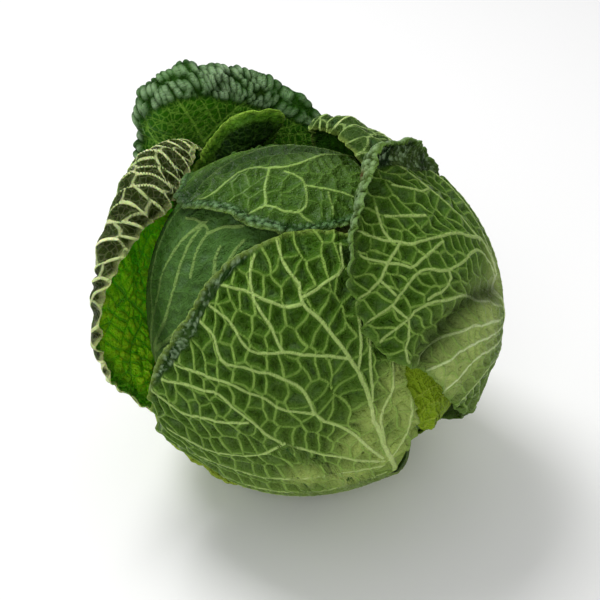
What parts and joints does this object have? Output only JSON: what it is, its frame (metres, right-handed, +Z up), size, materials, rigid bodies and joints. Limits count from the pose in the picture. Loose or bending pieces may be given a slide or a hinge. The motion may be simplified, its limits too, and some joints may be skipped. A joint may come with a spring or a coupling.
{
  "type": "savoy cabbage",
  "caption": "Round head of savoy cabbage lying on its side, a packed heart and cut stem wrapped in crinkled veined leaves whose outer ones flare and curl open; a vegetable for cooking.",
  "frame": {"origin": "Centre of the bounding box in plan, at the level of the small flat under the bottom leaf that the head rests on.", "axes": "+Z up. +X to the right and +Y away, seen from the front of the head. The crown points up, to the left and forward; the cut stem points down, to the right and back."},
  "size_m": [0.191, 0.1884, 0.1933],
  "materials": {
    "packed_leaf": "pale yellow-green, smooth, tightly folded leaves",
    "cut_flesh": "cut stem, pale and damp, fibrous",
    "pale_leaf": "pale yellow-green inner leaf, softly blistered, satin",
    "smooth_leaf": "grey-green leaf back with long pale arcing veins, satin",
    "underside_leaf": "leaf back, pale raised vein net over puckered green cells, satin",
    "wet_leaf": "crown leaf, blistered and wet, glossy glints",
    "dark_leaf": "blistered dark blue-green upper face with a waxy bloom and thin pale veins",
    "bright_leaf": "thin bright yellow-green leaf with light coming through"
  },
  "bodies": {
    "root": {"packed_heart": "packed_leaf", "cut_stem": "cut_flesh", "heart_leaf_front": "pale_leaf", "heart_leaf_back": "pale_leaf", "heart_leaf_right": "pale_leaf", "heart_leaf_left": "pale_leaf", "inner_left_leaf": "smooth_leaf", "under_leaf": "underside_leaf", "inner_back_leaf": "dark_leaf", "rear_leaf": "underside_leaf", "crown_leaf": "wet_leaf", "upright_back_leaf": "dark_leaf", "left_wrapper_leaf": "dark_leaf", "back_right_leaf": "dark_leaf", "spread_back_leaf": "dark_leaf", "lower_right_leaf": "bright_leaf", "front_wrapper_leaf": "underside_leaf", "bottom_leaf": "underside_leaf", "right_wrapper_leaf": "underside_leaf"}
  },
  "joints": []
}
